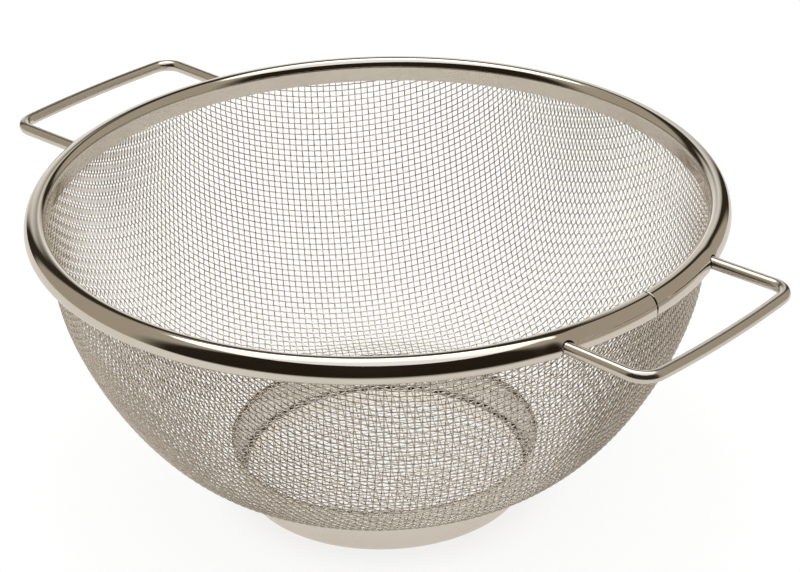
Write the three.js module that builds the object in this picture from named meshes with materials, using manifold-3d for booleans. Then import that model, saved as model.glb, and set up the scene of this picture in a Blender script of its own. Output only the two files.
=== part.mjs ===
// Mesh strainer: a drawn wire cloth bowl with a rolled sheet rim, two wire handles and a foot ring.
// Millimetres, +Z up. The origin is on the bowl's axis, in the plane that the foot ring stands on.
// The handles point along +X and -X.

import * as THREE from 'three';
import { mergeVertices } from 'three/addons/utils/BufferGeometryUtils.js';
import Module from 'manifold-3d';

// Rim band: a strip rolled round the hoop and the cloth's edge, with a flat inner face
const RIM_DIAMETER = 240;
const RIM_SHEET = 0.4;
const INNER_FACE_RISE = 2;
const INNER_FACE_DROP = 2.4;

// Hoop inside the bead, and the room left round it
const HOOP_WIRE = 5;
const HOOP_ROOM = 1.7;
const HOOP_TO_CLOTH = 1.35;

// Wire cloth bowl: a short upright wall, one easy curve and a flat floor
const CLOTH_WIRE = 0.5;
const BOWL_DEPTH = 90;
const WALL_DROP = 17.6;
const WALL_EASE = 21.5;
const FLOOR_EASE = 23.3;
const FLOOR_DIAMETER = 121.2;
const CLOTH_TUCK = 1.2;

// Grid of openings that stands for the weave: cells across the bowl, and how much of a cell's side is open
const GRID_ACROSS = 12;
const GRID_OPEN_SHARE = 0.78;
const WEAVE_TURN_DEGREES = 50.5;

// Handles: bent wire loops, level with the middle of the bead
const HANDLE_WIRE = 4.2;
const HANDLE_REACH = 26.4;
const ROOT_WIDTH = 73.8;
const LEG_SPLAY = 0.6;
const GRIP_BOW = 1.8;
const BEND_LENGTH = 8;

// Foot ring: flared sheet, its lower edge folded up inside as a hem
const FOOT_HEIGHT = 18;
const FOOT_TOP_DIAMETER = 109.2;
const FOOT_BASE_DIAMETER = 101;
const FOOT_SHEET = 0.7;
const FOOT_HEM = 5.9;
const FOOT_EDGE_RADIUS = 0.35;

// Clearances between neighbours
const CLOTH_CLEARANCE = 0.15;
const LIP_CLEARANCE = 0.35;
const WELD_GAP = 0.3;
const NOTCH_CLEARANCE = 0.6;

// Colours and finish of the steel
const CLOTH_COLOUR = 0xa79f93;
const CLOTH_ROUGHNESS = 0.35;
const SHEET_COLOUR = 0xc9c3b8;
const SHEET_ROUGHNESS = 0.12;
const WIRE_COLOUR = 0xbdb5a8;
const WIRE_ROUGHNESS = 0.2;
const FOOT_COLOUR = 0xc6bfb4;
const FOOT_ROUGHNESS = 0.3;

// How finely round shapes are divided
const TURN_STEPS = 60;
const CURVE_STEPS = 8;
const BEAD_STEPS = 10;
const SHOULDER_STEPS = 4;
const EDGE_STEPS = 3;
const NOTCH_STEPS = 6;
const HOOP_SIDES = 8;
const HALF_HANDLE_SIDES = 6;
const HANDLE_STEPS = 56;
const HALVINGS = 40;
const NET_ROUNDS = 12;
const NET_STEP = 0.01;

// Places that follow from the sizes above
const rimRadius = RIM_DIAMETER / 2;
const hoopRadius = HOOP_WIRE / 2;
const beadRadius = hoopRadius + HOOP_ROOM + RIM_SHEET;
const beadCentre = rimRadius - beadRadius;
const clothThickness = 2 * CLOTH_WIRE;
const clothOuter = beadCentre - hoopRadius - HOOP_TO_CLOTH;
const clothInner = clothOuter - clothThickness;
const innerFaceRadius = clothInner - CLOTH_CLEARANCE - RIM_SHEET;
const floorRadius = FLOOR_DIAMETER / 2;
const floorUnderside = FOOT_HEIGHT + WELD_GAP;
const rimHeight = floorUnderside + BOWL_DEPTH;
const legRadius = HANDLE_WIRE / 2;

const wasm = await Module();
wasm.setup();

// A closed geometry as a solid that can be cut
function toSolid(geometry) {
  const bare = geometry.clone();
  bare.deleteAttribute('normal');
  bare.deleteAttribute('uv');
  const merged = mergeVertices(bare);
  return new wasm.Manifold(new wasm.Mesh({
    numProp: 3,
    vertProperties: merged.getAttribute('position').array,
    triVerts: merged.getIndex().array,
  }));
}

// A cut solid back as a geometry
function toGeometry(solid) {
  const { vertProperties, triVerts } = solid.getMesh();
  const geometry = new THREE.BufferGeometry();
  geometry.setAttribute('position', new THREE.BufferAttribute(vertProperties, 3));
  geometry.setIndex(new THREE.BufferAttribute(triVerts, 1));
  geometry.computeVertexNormals();
  return geometry;
}

// A section of [radius, height] points turned about the Z axis
function turned(points) {
  return new THREE.LatheGeometry(points, TURN_STEPS).rotateX(Math.PI / 2);
}

// Points on an elliptical arc in the section plane
function arcPoints(centreX, centreY, radiusX, radiusY, from, to, steps) {
  const clockwise = to < from;
  const arc = new THREE.EllipseCurve(centreX, centreY, radiusX, radiusY, from, to, clockwise);
  return arc.getPoints(steps);
}

// The cloth's outer surface between the upright wall and the flat floor
const wallFoot = rimHeight - WALL_DROP;
const bowlCurve = new THREE.CubicBezierCurve(
  new THREE.Vector2(clothOuter, wallFoot),
  new THREE.Vector2(clothOuter, wallFoot - WALL_EASE),
  new THREE.Vector2(floorRadius + FLOOR_EASE, floorUnderside),
  new THREE.Vector2(floorRadius, floorUnderside),
);

// Height of the bowl's underside at a radius: the flat floor, or the curve outside it
function undersideHeight(radius) {
  if (radius <= floorRadius) {
    return floorUnderside;
  }
  let low = 0;
  let high = 1;
  for (let step = 0; step < HALVINGS; step += 1) {
    const middle = (low + high) / 2;
    if (bowlCurve.getPoint(middle).x > radius) {
      low = middle;
    } else {
      high = middle;
    }
  }
  return bowlCurve.getPoint(low).y;
}

// The cloth's meridian, from well above the rim down the wall and across the floor to the axis
const wallTop = new THREE.Vector2(clothOuter, rimHeight + rimRadius);
const meridian = new THREE.CurvePath();
meridian.add(new THREE.LineCurve(wallTop, bowlCurve.v0));
meridian.add(bowlCurve);
meridian.add(new THREE.LineCurve(bowlCurve.v3, new THREE.Vector2(0, floorUnderside)));
const meridianLength = meridian.getLength();

// The grid ends under the bead, after a whole number of cells along the wires through the floor's middle
const gridTop = rimHeight - beadRadius;
const gridReach = meridianLength - (wallTop.y - gridTop);
const cellSide = 2 * gridReach / GRID_ACROSS;

// A point of the flat cloth laid on the bowl at the same distance and angle from the middle
function onBowl(flat) {
  const walk = flat.length();
  const place = meridian.getPoint(1 - walk / meridianLength);
  const across = flat.clone().multiplyScalar(walk > 0 ? place.x / walk : 1);
  return new THREE.Vector3(across.x, across.y, place.y);
}

// The crossing of the cloth's net that lies one cell side from each of two known neighbours
function crossing(one, two, guess) {
  const flat = guess.clone();
  for (let round = 0; round < NET_ROUNDS; round += 1) {
    const here = onBowl(flat);
    const stepX = onBowl(flat.clone().setX(flat.x + NET_STEP)).sub(here).divideScalar(NET_STEP);
    const stepY = onBowl(flat.clone().setY(flat.y + NET_STEP)).sub(here).divideScalar(NET_STEP);
    const fromOne = here.clone().sub(one);
    const fromTwo = here.clone().sub(two);
    const missOne = fromOne.length() - cellSide;
    const missTwo = fromTwo.length() - cellSide;
    fromOne.normalize();
    fromTwo.normalize();
    const [oneX, oneY] = [fromOne.dot(stepX), fromOne.dot(stepY)];
    const [twoX, twoY] = [fromTwo.dot(stepX), fromTwo.dot(stepY)];
    const spread = oneX * twoY - oneY * twoX;
    flat.x -= (missOne * twoY - missTwo * oneY) / spread;
    flat.y -= (missTwo * oneX - missOne * twoX) / spread;
  }
  return flat;
}

// One quarter of the net: wires keep their length, so square cells lean over as the cloth turns up the wall
function quarterNet() {
  const count = GRID_ACROSS / 2 + 1;
  const flat = [];
  const placed = [];
  for (let i = 0; i <= count; i += 1) {
    flat.push([]);
    placed.push([]);
    for (let j = 0; j <= count; j += 1) {
      const onEdge = i === 0 || j === 0;
      const spot = onEdge
        ? new THREE.Vector2(i * cellSide, j * cellSide)
        : crossing(
          placed[i - 1][j], placed[i][j - 1],
          flat[i - 1][j].clone().add(flat[i][j - 1]).sub(flat[i - 1][j - 1]),
        );
      flat[i].push(spot);
      placed[i].push(onBowl(spot));
    }
  }
  return placed;
}

// A prism through the cloth for the open middle of one cell
function cellPrism(corners) {
  const centre = corners.reduce((sum, corner) => sum.add(corner), new THREE.Vector3())
    .divideScalar(corners.length);
  const across = corners[2].clone().sub(corners[0]).normalize();
  const out = across.clone().cross(corners[3].clone().sub(corners[1])).normalize();
  const up = out.clone().cross(across);
  const outline = new THREE.Shape(corners.map((corner) => {
    const arm = corner.clone().sub(centre).multiplyScalar(GRID_OPEN_SHARE);
    return new THREE.Vector2(arm.dot(across), arm.dot(up));
  }));
  const prism = new THREE.ExtrudeGeometry(outline, { depth: cellSide, bevelEnabled: false });
  return prism.translate(0, 0, -cellSide / 2)
    .applyMatrix4(new THREE.Matrix4().makeBasis(across, up, out).setPosition(centre));
}

// Openings of all the cells whose middle is below the bead, kept clear of the cloth's edge in the rim
function gridOpenings() {
  const net = quarterNet();
  const prisms = [];
  for (let i = 0; i + 1 < net.length; i += 1) {
    for (let j = 0; j + 1 < net.length; j += 1) {
      const corners = [net[i][j], net[i + 1][j], net[i + 1][j + 1], net[i][j + 1]];
      const middleHeight = (corners[0].z + corners[2].z) / 2;
      if (middleHeight < gridTop) {
        prisms.push(cellPrism(corners));
      }
    }
  }
  const turn = THREE.MathUtils.degToRad(WEAVE_TURN_DEGREES);
  const quarters = [0, 1, 2, 3].map((quarter) => turn + quarter * Math.PI / 2);
  const solids = quarters.flatMap((angle) => prisms.map((prism) => toSolid(prism.clone().rotateZ(angle))));
  const edge = new THREE.CylinderGeometry(RIM_DIAMETER, RIM_DIAMETER, rimRadius, TURN_STEPS)
    .rotateX(Math.PI / 2).translate(0, 0, gridTop + rimRadius / 2);
  return solids.reduce((all, solid) => all.add(solid)).subtract(toSolid(edge));
}

// Wire cloth bowl: a shell as thick as two crossed wires, tucked into the bead at its top and cut to a grid
function meshBowl() {
  const outer = [];
  const inner = [];
  for (let step = 0; step <= CURVE_STEPS; step += 1) {
    const t = step / CURVE_STEPS;
    const point = bowlCurve.getPoint(t);
    const along = bowlCurve.getTangent(t);
    outer.push(point);
    inner.push(new THREE.Vector2(along.y, -along.x).multiplyScalar(clothThickness).add(point));
  }
  const clothTop = rimHeight + CLOTH_TUCK;
  const shell = turned([
    new THREE.Vector2(0, floorUnderside),
    ...outer.reverse(),
    new THREE.Vector2(clothOuter, clothTop),
    new THREE.Vector2(clothInner, clothTop),
    ...inner,
    new THREE.Vector2(0, floorUnderside + clothThickness),
  ]);
  return toGeometry(toSolid(shell).subtract(gridOpenings()));
}

// One skin of the rolled strip, from the inner face's lower edge over the top to the free lip
function bandSkin(inset) {
  const faceRadius = innerFaceRadius + inset;
  const faceTop = rimHeight + INNER_FACE_RISE;
  const lipRadius = clothOuter + LIP_CLEARANCE;
  const lipAngle = -Math.acos((lipRadius - beadCentre) / beadRadius);
  const shoulder = arcPoints(
    beadCentre, faceTop, beadCentre - faceRadius, beadRadius - INNER_FACE_RISE - inset,
    Math.PI, Math.PI / 2, SHOULDER_STEPS,
  );
  const bead = arcPoints(
    beadCentre, rimHeight, beadRadius - inset, beadRadius - inset,
    Math.PI / 2, lipAngle, BEAD_STEPS,
  );
  return [
    new THREE.Vector2(faceRadius, rimHeight - INNER_FACE_DROP),
    ...shoulder,
    ...bead.slice(1),
  ];
}

// Arched notch round each handle leg, open below, that leaves the inner face whole
function legNotches() {
  const halfWidth = legRadius + NOTCH_CLEARANCE;
  const drop = 2 * beadRadius;
  const arch = new THREE.Shape();
  arch.moveTo(-halfWidth, -drop);
  arch.lineTo(halfWidth, -drop);
  arch.lineTo(halfWidth, 0);
  arch.absarc(0, 0, halfWidth, 0, Math.PI);
  arch.closePath();
  const cutLength = 2 * RIM_DIAMETER;
  const tunnel = new THREE.ExtrudeGeometry(arch, {
    depth: cutLength,
    bevelEnabled: false,
    curveSegments: NOTCH_STEPS,
  });
  tunnel.rotateX(Math.PI / 2).rotateZ(Math.PI / 2).translate(-cutLength / 2, 0, rimHeight);
  const keep = new THREE.CylinderGeometry(clothOuter, clothOuter, 2 * (drop + halfWidth), TURN_STEPS);
  keep.rotateX(Math.PI / 2).translate(0, 0, rimHeight);
  const nearTunnel = toSolid(tunnel.clone().translate(0, -ROOT_WIDTH / 2, 0));
  const farTunnel = toSolid(tunnel.clone().translate(0, ROOT_WIDTH / 2, 0));
  return nearTunnel.add(farTunnel).subtract(toSolid(keep));
}

// Rim band: the rolled strip, with a notch for each handle leg
function rimBand() {
  const outside = bandSkin(0);
  const section = [...bandSkin(RIM_SHEET), ...outside.reverse()];
  section.push(section[0].clone());
  return toGeometry(toSolid(turned(section)).subtract(legNotches()));
}

// Hoop inside the bead, which the handle legs are welded to
function rimCoreWire() {
  return new THREE.TorusGeometry(beadCentre, hoopRadius, HOOP_SIDES, TURN_STEPS)
    .translate(0, 0, rimHeight);
}

// Handle: leg, bend, bowed grip, bend and leg, as one wire in the rim's plane, pointing along +X
function handle() {
  const rootHalf = ROOT_WIDTH / 2;
  const gripHalf = rootHalf + LEG_SPLAY;
  const rootX = Math.sqrt((beadCentre + hoopRadius + WELD_GAP) ** 2 - (rootHalf - legRadius) ** 2);
  const cornerX = rimRadius + HANDLE_REACH - GRIP_BOW;
  const bendShare = BEND_LENGTH / gripHalf;
  const bowX = cornerX + 2 * GRIP_BOW / (1 + bendShare);
  const place = (x, y) => new THREE.Vector3(x, y, rimHeight);
  const bow = place(bowX, 0);
  const side = (sign) => {
    const root = place(rootX, sign * rootHalf);
    const corner = place(cornerX, sign * gripHalf);
    const bendStart = corner.clone().lerp(root, BEND_LENGTH / corner.distanceTo(root));
    const bendEnd = corner.clone().lerp(bow, bendShare);
    return { root, corner, bendStart, bendEnd };
  };
  const near = side(-1);
  const far = side(1);
  const wire = new THREE.CurvePath();
  wire.add(new THREE.LineCurve3(near.root, near.bendStart));
  wire.add(new THREE.QuadraticBezierCurve3(near.bendStart, near.corner, near.bendEnd));
  wire.add(new THREE.QuadraticBezierCurve3(near.bendEnd, bow, far.bendEnd));
  wire.add(new THREE.QuadraticBezierCurve3(far.bendEnd, far.corner, far.bendStart));
  wire.add(new THREE.LineCurve3(far.bendStart, far.root));
  const section = new THREE.Shape();
  section.absarc(0, 0, legRadius, 0, 2 * Math.PI);
  return new THREE.ExtrudeGeometry(section, {
    steps: HANDLE_STEPS,
    curveSegments: HALF_HANDLE_SIDES,
    extrudePath: wire,
  });
}

// Foot ring: a flared wall whose lower edge is folded up inside, flat where it stands
function footRing() {
  const baseRadius = FOOT_BASE_DIAMETER / 2;
  const topRadius = FOOT_TOP_DIAMETER / 2;
  const topHeight = undersideHeight(topRadius - FOOT_SHEET) - WELD_GAP;
  const wallRadius = (height) => baseRadius + (topRadius - baseRadius) * height / topHeight;
  const edge = FOOT_EDGE_RADIUS;
  const hemInner = wallRadius(edge) - 2 * FOOT_SHEET;
  const outerEdge = arcPoints(wallRadius(edge) - edge, edge, edge, edge, -Math.PI / 2, 0, EDGE_STEPS);
  const innerEdge = arcPoints(hemInner + edge, edge, edge, edge, Math.PI, 1.5 * Math.PI, EDGE_STEPS);
  const section = [
    ...innerEdge,
    ...outerEdge,
    new THREE.Vector2(topRadius, topHeight),
    new THREE.Vector2(topRadius - FOOT_SHEET, topHeight),
    new THREE.Vector2(wallRadius(FOOT_HEM) - FOOT_SHEET, FOOT_HEM),
    new THREE.Vector2(wallRadius(FOOT_HEM) - 2 * FOOT_SHEET, FOOT_HEM),
  ];
  section.push(section[0].clone());
  return turned(section);
}

const strainer = new THREE.Group();

// A finished piece in its own steel
function addPiece(name, geometry, color, roughness) {
  const steel = new THREE.MeshStandardMaterial({ color, roughness, metalness: 1 });
  const piece = new THREE.Mesh(geometry, steel);
  piece.name = name;
  strainer.add(piece);
  return piece;
}

addPiece('mesh_bowl', meshBowl(), CLOTH_COLOUR, CLOTH_ROUGHNESS);
addPiece('rim_band', rimBand(), SHEET_COLOUR, SHEET_ROUGHNESS);
addPiece('rim_core_wire', rimCoreWire(), WIRE_COLOUR, WIRE_ROUGHNESS);
addPiece('right_handle', handle(), WIRE_COLOUR, WIRE_ROUGHNESS);
addPiece('left_handle', handle(), WIRE_COLOUR, WIRE_ROUGHNESS).rotation.z = Math.PI;
addPiece('foot_ring', footRing(), FOOT_COLOUR, FOOT_ROUGHNESS);

export default strainer;
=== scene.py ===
# %% [markdown]
# # A mesh strainer with two wire handles
#
# This lesson dresses a plain solid model of a kitchen strainer. The real one is a piece of woven steel
# wire cloth pressed into a bowl, a rim of thin sheet rolled round the cloth's edge, two bent wire handles
# and a ring of sheet to stand on. The solid model gives the sizes and the places, in metres, with +Z up
# and the handles along X. Every piece made here sits in that same frame, so nothing has to be fitted
# afterwards.

# %% Load the solid model
import bmesh
import bpy
import math
import numpy as np
from functools import partial
from mathutils import Matrix, Vector

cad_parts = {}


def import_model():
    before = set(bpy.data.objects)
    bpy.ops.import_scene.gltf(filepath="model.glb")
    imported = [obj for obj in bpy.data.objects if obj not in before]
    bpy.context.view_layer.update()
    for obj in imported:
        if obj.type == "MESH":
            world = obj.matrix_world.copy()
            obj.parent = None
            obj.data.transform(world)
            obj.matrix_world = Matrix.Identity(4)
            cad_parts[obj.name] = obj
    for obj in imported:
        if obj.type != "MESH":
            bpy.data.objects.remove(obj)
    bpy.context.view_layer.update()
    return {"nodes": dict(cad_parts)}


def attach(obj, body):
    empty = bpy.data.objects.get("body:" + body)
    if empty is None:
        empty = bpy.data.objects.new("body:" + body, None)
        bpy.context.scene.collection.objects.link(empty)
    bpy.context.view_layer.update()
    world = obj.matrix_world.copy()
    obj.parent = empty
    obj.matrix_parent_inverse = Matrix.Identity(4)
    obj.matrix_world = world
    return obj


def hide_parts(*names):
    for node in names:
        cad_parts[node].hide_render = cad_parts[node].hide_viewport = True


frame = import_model()

# %% [markdown]
# ## Where the camera stands
#
# The viewpoint was worked out from the ellipse of the rim, the outline of the bowl and the four corners of
# the handles. It is a long lens, a little under a metre away, looking down at 28 degrees. The camera is
# built first, so that each piece can be looked at as soon as it exists.

# %% Camera
MM = 0.001
VIEW_AZIMUTH = math.radians(43.27)
VIEW_ELEVATION = math.radians(27.954)
VIEW_ROLL = math.radians(-1.569)
VIEW_DISTANCE = 0.90847
AIM_ACROSS = 0.006911
AIM_HEIGHT = 0.075656
IMAGE_WIDTH = 800
SENSOR_WIDTH = 36
FOCAL_PIXELS = 2619.0


def finished_object(name, data):
    """An object at the origin, in the scene."""
    made = bpy.data.objects.new(name, data)
    bpy.context.scene.collection.objects.link(made)
    return made


def turned_to_view(x, y, z):
    """A direction or place given as the camera sees it: x to its right, y away from it, z up."""
    c, s = math.cos(VIEW_AZIMUTH), math.sin(VIEW_AZIMUTH)
    return Vector((c * x - s * y, s * x + c * y, z))


def add_camera():
    forward = turned_to_view(0, math.cos(VIEW_ELEVATION), -math.sin(VIEW_ELEVATION))
    level_right = turned_to_view(1, 0, 0)
    level_up = level_right.cross(forward)
    right = math.cos(VIEW_ROLL) * level_right + math.sin(VIEW_ROLL) * level_up
    up = math.cos(VIEW_ROLL) * level_up - math.sin(VIEW_ROLL) * level_right
    place = turned_to_view(AIM_ACROSS, 0, AIM_HEIGHT) - VIEW_DISTANCE * forward
    data = bpy.data.cameras.new("camera")
    data.sensor_width = SENSOR_WIDTH
    data.lens = FOCAL_PIXELS / IMAGE_WIDTH * SENSOR_WIDTH
    camera = finished_object("camera", data)
    axes = Matrix((right, up, -forward)).transposed().to_4x4()
    camera.matrix_world = Matrix.Translation(place) @ axes
    bpy.context.scene.camera = camera
    return camera


camera = add_camera()
print("camera at", [round(v, 4) for v in camera.matrix_world.translation])

# %% [markdown]
# ## The bowl's surface
#
# Pressed cloth has no thickness worth drawing, but its wires need a surface to lie on. That surface is
# turned about the axis, so one curve describes it: the meridian, from the middle of the floor, along the
# flat floor, up the curved wall and up to the rim, below which it leans out a little. The curve is kept as
# a table of radius and height against the distance walked along it, which is the distance that a wire has
# to cover.

# %% Meridian of the cloth
RIM_RADIUS = 120.0
RIM_HEIGHT = 108.3
CLOTH_OUTER = 111.55
CLOTH_WIRE = 0.45
CLOTH_MIDDLE = 0.5
FLOOR_RADIUS = 60.6
FLOOR_UNDERSIDE = 18.3
WALL_DROP = 17.6
WALL_EASE = 21.5
FLOOR_EASE = 23.3
FLARE = 2.3
FLARE_FROM = 86.0
FLARE_TO = 104.3
CLOTH_TUCK = -2.3
WALL_OVERRUN = 60.0
CURVE_STEPS = 3000
UPRIGHT_STEPS = 800
TABLE_STEPS = 8000


def smooth_step(x, low, high):
    s = np.clip((x - low) / (high - low), 0, 1)
    return s * s * (3 - 2 * s)


def lengths_along(points):
    """Length along a line of points, from its first point to each point."""
    return np.concatenate([[0], np.cumsum(np.linalg.norm(np.diff(points, axis=0), axis=1))])


def cubic(corners, steps):
    """A smooth curve from the first corner to the last, pulled towards the two between them."""
    a, b, c, d = np.array(corners)
    t = np.linspace(0, 1, steps)[:, None]
    return (1 - t) ** 3 * a + 3 * (1 - t) ** 2 * t * b + 3 * (1 - t) * t ** 2 * c + t ** 3 * d


def bowl_meridian():
    """Distance walked, radius and height along the middle of the cloth, in millimetres."""
    wall_foot = RIM_HEIGHT - WALL_DROP
    curve = cubic([(FLOOR_RADIUS, FLOOR_UNDERSIDE), (FLOOR_RADIUS + FLOOR_EASE, FLOOR_UNDERSIDE),
                   (CLOTH_OUTER, wall_foot - WALL_EASE), (CLOTH_OUTER, wall_foot)], CURVE_STEPS)
    along = np.gradient(curve, axis=0)
    along /= np.linalg.norm(along, axis=1)[:, None]
    inward = np.stack([-along[:, 1], along[:, 0]], axis=1)
    middle = curve + CLOTH_MIDDLE * inward
    upright = np.linspace(wall_foot, RIM_HEIGHT + WALL_OVERRUN, UPRIGHT_STEPS)[1:]
    middle = np.concatenate([
        [[0, FLOOR_UNDERSIDE + CLOTH_MIDDLE]], middle,
        np.stack([np.full_like(upright, CLOTH_OUTER - CLOTH_MIDDLE), upright], axis=1)])
    middle[:, 0] += FLARE * smooth_step(middle[:, 1], FLARE_FROM, FLARE_TO)
    walked = lengths_along(middle)
    even = np.linspace(0, walked[-1], TABLE_STEPS)
    return even, np.interp(even, walked, middle[:, 0]), np.interp(even, walked, middle[:, 1])


WALK, RADIUS, HEIGHT = bowl_meridian()
RADIUS_SLOPE = np.gradient(RADIUS, WALK)
HEIGHT_SLOPE = np.gradient(HEIGHT, WALK)
TOP_WALK = WALK[-1] - (WALL_OVERRUN - CLOTH_TUCK)
print("from the floor's middle to the cloth's edge:", round(TOP_WALK, 1), "mm")

# %% [markdown]
# ## How woven cloth takes the shape of a bowl
#
# A wire doesn't stretch. When flat cloth is pressed into a bowl, its square cells keep the length of their
# sides and lean over into diamonds instead, as a fishing net does. Two lines through the middle of the
# floor stay straight, and from those two every other crossing follows: it lies on the bowl, one cell side
# from each of two neighbours that are already known. That is solved here one diagonal row at a time, for
# one quarter of the bowl, and mirrored to the other three. It gives square cells where the two straight
# lines climb the wall, and diamonds halfway between them.

# %% Crossings of the net
PITCH_ONE = 2.395
PITCH_TWO = 2.115
WEAVE_TURN = math.radians(50.5)
NET_MARGIN = 12.0
SOLVE_ROUNDS = 10


def on_bowl(a, b):
    """Places on the bowl for points (a, b) of the unrolled disc, whose distance from the middle is kept."""
    walk = np.hypot(a, b)
    share = np.where(walk > 1e-9, np.interp(walk, WALK, RADIUS) / np.maximum(walk, 1e-9), 1.0)
    return np.stack([a * share, b * share, np.interp(walk, WALK, HEIGHT)], axis=-1)


def bowl_slopes(a, b):
    """How a place on the bowl moves with a and with b."""
    walk = np.maximum(np.hypot(a, b), 1e-9)
    share = np.interp(walk, WALK, RADIUS) / walk
    bend = (np.interp(walk, WALK, RADIUS_SLOPE) - share) / walk ** 2
    rise = np.interp(walk, WALK, HEIGHT_SLOPE) / walk
    by_a = np.stack([share + bend * a * a, bend * a * b, rise * a], axis=-1)
    by_b = np.stack([bend * a * b, share + bend * b * b, rise * b], axis=-1)
    return by_a, by_b


def quarter_net(first, second):
    """Net points of one quarter, from distances along its two straight edges; each list starts at 0."""
    flat = np.full((len(first), len(second), 2), np.nan)
    flat[:, 0] = np.stack([first, 0 * first], axis=1)
    flat[0, :] = np.stack([0 * second, second], axis=1)
    placed = on_bowl(flat[..., 0], flat[..., 1])
    for row in range(2, len(first) + len(second) - 1):
        i = np.arange(max(1, row - len(second) + 1), min(len(first) - 1, row - 1) + 1)
        j = row - i
        guess = flat[i - 1, j] + flat[i, j - 1] - flat[i - 1, j - 1]
        near = np.nan_to_num(np.hypot(guess[:, 0], guess[:, 1]), nan=1e9) < TOP_WALK + NET_MARGIN
        i, j, guess = i[near], j[near], guess[near]
        if len(i) == 0:
            continue
        one, two = placed[i - 1, j], placed[i, j - 1]
        side_one, side_two = first[i] - first[i - 1], second[j] - second[j - 1]
        for _ in range(SOLVE_ROUNDS):
            here = on_bowl(guess[:, 0], guess[:, 1])
            by_a, by_b = bowl_slopes(guess[:, 0], guess[:, 1])
            miss_one = ((here - one) ** 2).sum(1) - side_one ** 2
            miss_two = ((here - two) ** 2).sum(1) - side_two ** 2
            a1, b1 = 2 * ((here - one) * by_a).sum(1), 2 * ((here - one) * by_b).sum(1)
            a2, b2 = 2 * ((here - two) * by_a).sum(1), 2 * ((here - two) * by_b).sum(1)
            area = a1 * b2 - b1 * a2
            step = np.stack([miss_one * b2 - miss_two * b1, miss_two * a1 - miss_one * a2], 1)
            guess = guess - step / area[:, None]
        flat[i, j] = guess
        placed[i, j] = on_bowl(guess[:, 0], guess[:, 1])
    return flat


def whole_net():
    """Crossings of all wires in the unrolled disc; the first wires lie half a cell from the middle."""
    first, second = [np.concatenate([[0], np.arange(pitch / 2, TOP_WALK + 2 * pitch, pitch)])
                     for pitch in (PITCH_ONE, PITCH_TWO)]
    quarter = quarter_net(first, second)[1:, 1:]
    half = np.concatenate([quarter[:, ::-1] * np.array([1, -1]), quarter], axis=1)
    return np.concatenate([half[::-1] * np.array([-1, 1]), half], axis=0)


crossings = whole_net()
inside = np.hypot(crossings[..., 0], crossings[..., 1]) < TOP_WALK
print("wires:", crossings.shape[0], "by", crossings.shape[1], "crossings:", int(inside.sum()))

# %% [markdown]
# ## Wires that go over and under
#
# In a plain weave each wire passes over one crossing wire and under the next. Along a wire that is a wave:
# up at one crossing, down at the next, and the other set of wires does the opposite. Each wire becomes a
# line of points on the bowl's surface. Two values travel with a point: the direction out of the bowl
# there, and how far the wave has lifted it, from -1 to 1. The wave itself is left to the next step.

# %% Lines of the two sets of wires
STEPS_PER_CELL = 3
FEWEST_CROSSINGS = 4
FEWEST_POINTS = 6


def smooth_line(knots):
    """A smooth line through the crossings of one wire, with the same number of steps in each cell."""
    before = np.concatenate([[2 * knots[0] - knots[1]], knots[:-1]])
    after = np.concatenate([knots[1:], [2 * knots[-1] - knots[-2]]])
    pull = (after - before) / 2
    f = (np.arange(STEPS_PER_CELL) / STEPS_PER_CELL)[None, :, None]
    start, end = knots[:-1, None], knots[1:, None]
    leave, arrive = pull[:-1, None], pull[1:, None]
    line = ((2 * f ** 3 - 3 * f ** 2 + 1) * start + (f ** 3 - 2 * f ** 2 + f) * leave
            + (3 * f ** 2 - 2 * f ** 3) * end + (f ** 3 - f ** 2) * arrive)
    return np.concatenate([line.reshape(-1, 2), knots[-1:]])


def trimmed(line, lift):
    """The stretch of a wire below the cloth's edge, with its two ends cut exactly at the edge."""
    walk = np.hypot(line[:, 0], line[:, 1])
    kept = np.flatnonzero(walk < TOP_WALK)
    if len(kept) < FEWEST_POINTS:
        return None
    first, last = kept[0], kept[-1]
    ends = []
    for inner, outer in ((first, first - 1), (last, last + 1)):
        end = line[inner]
        if 0 <= outer < len(line):
            share = (TOP_WALK - walk[inner]) / (walk[outer] - walk[inner])
            end = end + share * (line[outer] - end)
        ends.append(end)
    points = np.concatenate([[ends[0]], line[first:last + 1], [ends[1]]])
    return points, np.pad(lift[first:last + 1], 1, mode="edge")


def wire_lines(rows, set_sign):
    """All wires of one set as (points, lift) pairs; rows holds the crossings, one wire in each row."""
    wires = []
    for count, row in enumerate(rows):
        known = np.flatnonzero(np.isfinite(row[:, 0]))
        if len(known) < FEWEST_CROSSINGS:
            continue
        line = smooth_line(row[known[0]:known[-1] + 1])
        place = known[0] + np.arange(len(line)) / STEPS_PER_CELL
        wire = trimmed(line, set_sign * (-1) ** count * np.cos(np.pi * place))
        if wire:
            wires.append(wire)
    return wires


set_one = wire_lines(crossings, 1)
set_two = wire_lines(crossings.transpose(1, 0, 2), -1)
print("wires drawn:", len(set_one), "and", len(set_two))

# %% [markdown]
# ## One node tree for every drawn wire
#
# The cloth, and later the handles, are all the same thing: a round wire that follows a line. A Geometry
# Nodes tree does that once. It moves each point along its outward direction by its lift times the crimp,
# turns the edges into curves, and sweeps a circle along them. Its inputs are the wire's diameter, the
# number of sides, the crimp and the finish, so the same tree makes a 0.45 mm cloth wire and a 4.2 mm
# handle. A small helper adds one node and fills its inputs; the finishes further down use it too.

# %% Node tree: round wire along a line
def add_node(tree, kind, values, output=0, **settings):
    """Adds a node and gives one of its outputs; values are plain ones or outputs, for the node's inputs."""
    node = tree.nodes.new(kind)
    for key, value in settings.items():
        setattr(node, key, value)
    for key, value in values.items():
        if isinstance(value, bpy.types.NodeSocket):
            tree.links.new(value, node.inputs[key])
        else:
            node.inputs[key].default_value = value
    return node.outputs[output] if node.outputs else None


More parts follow.
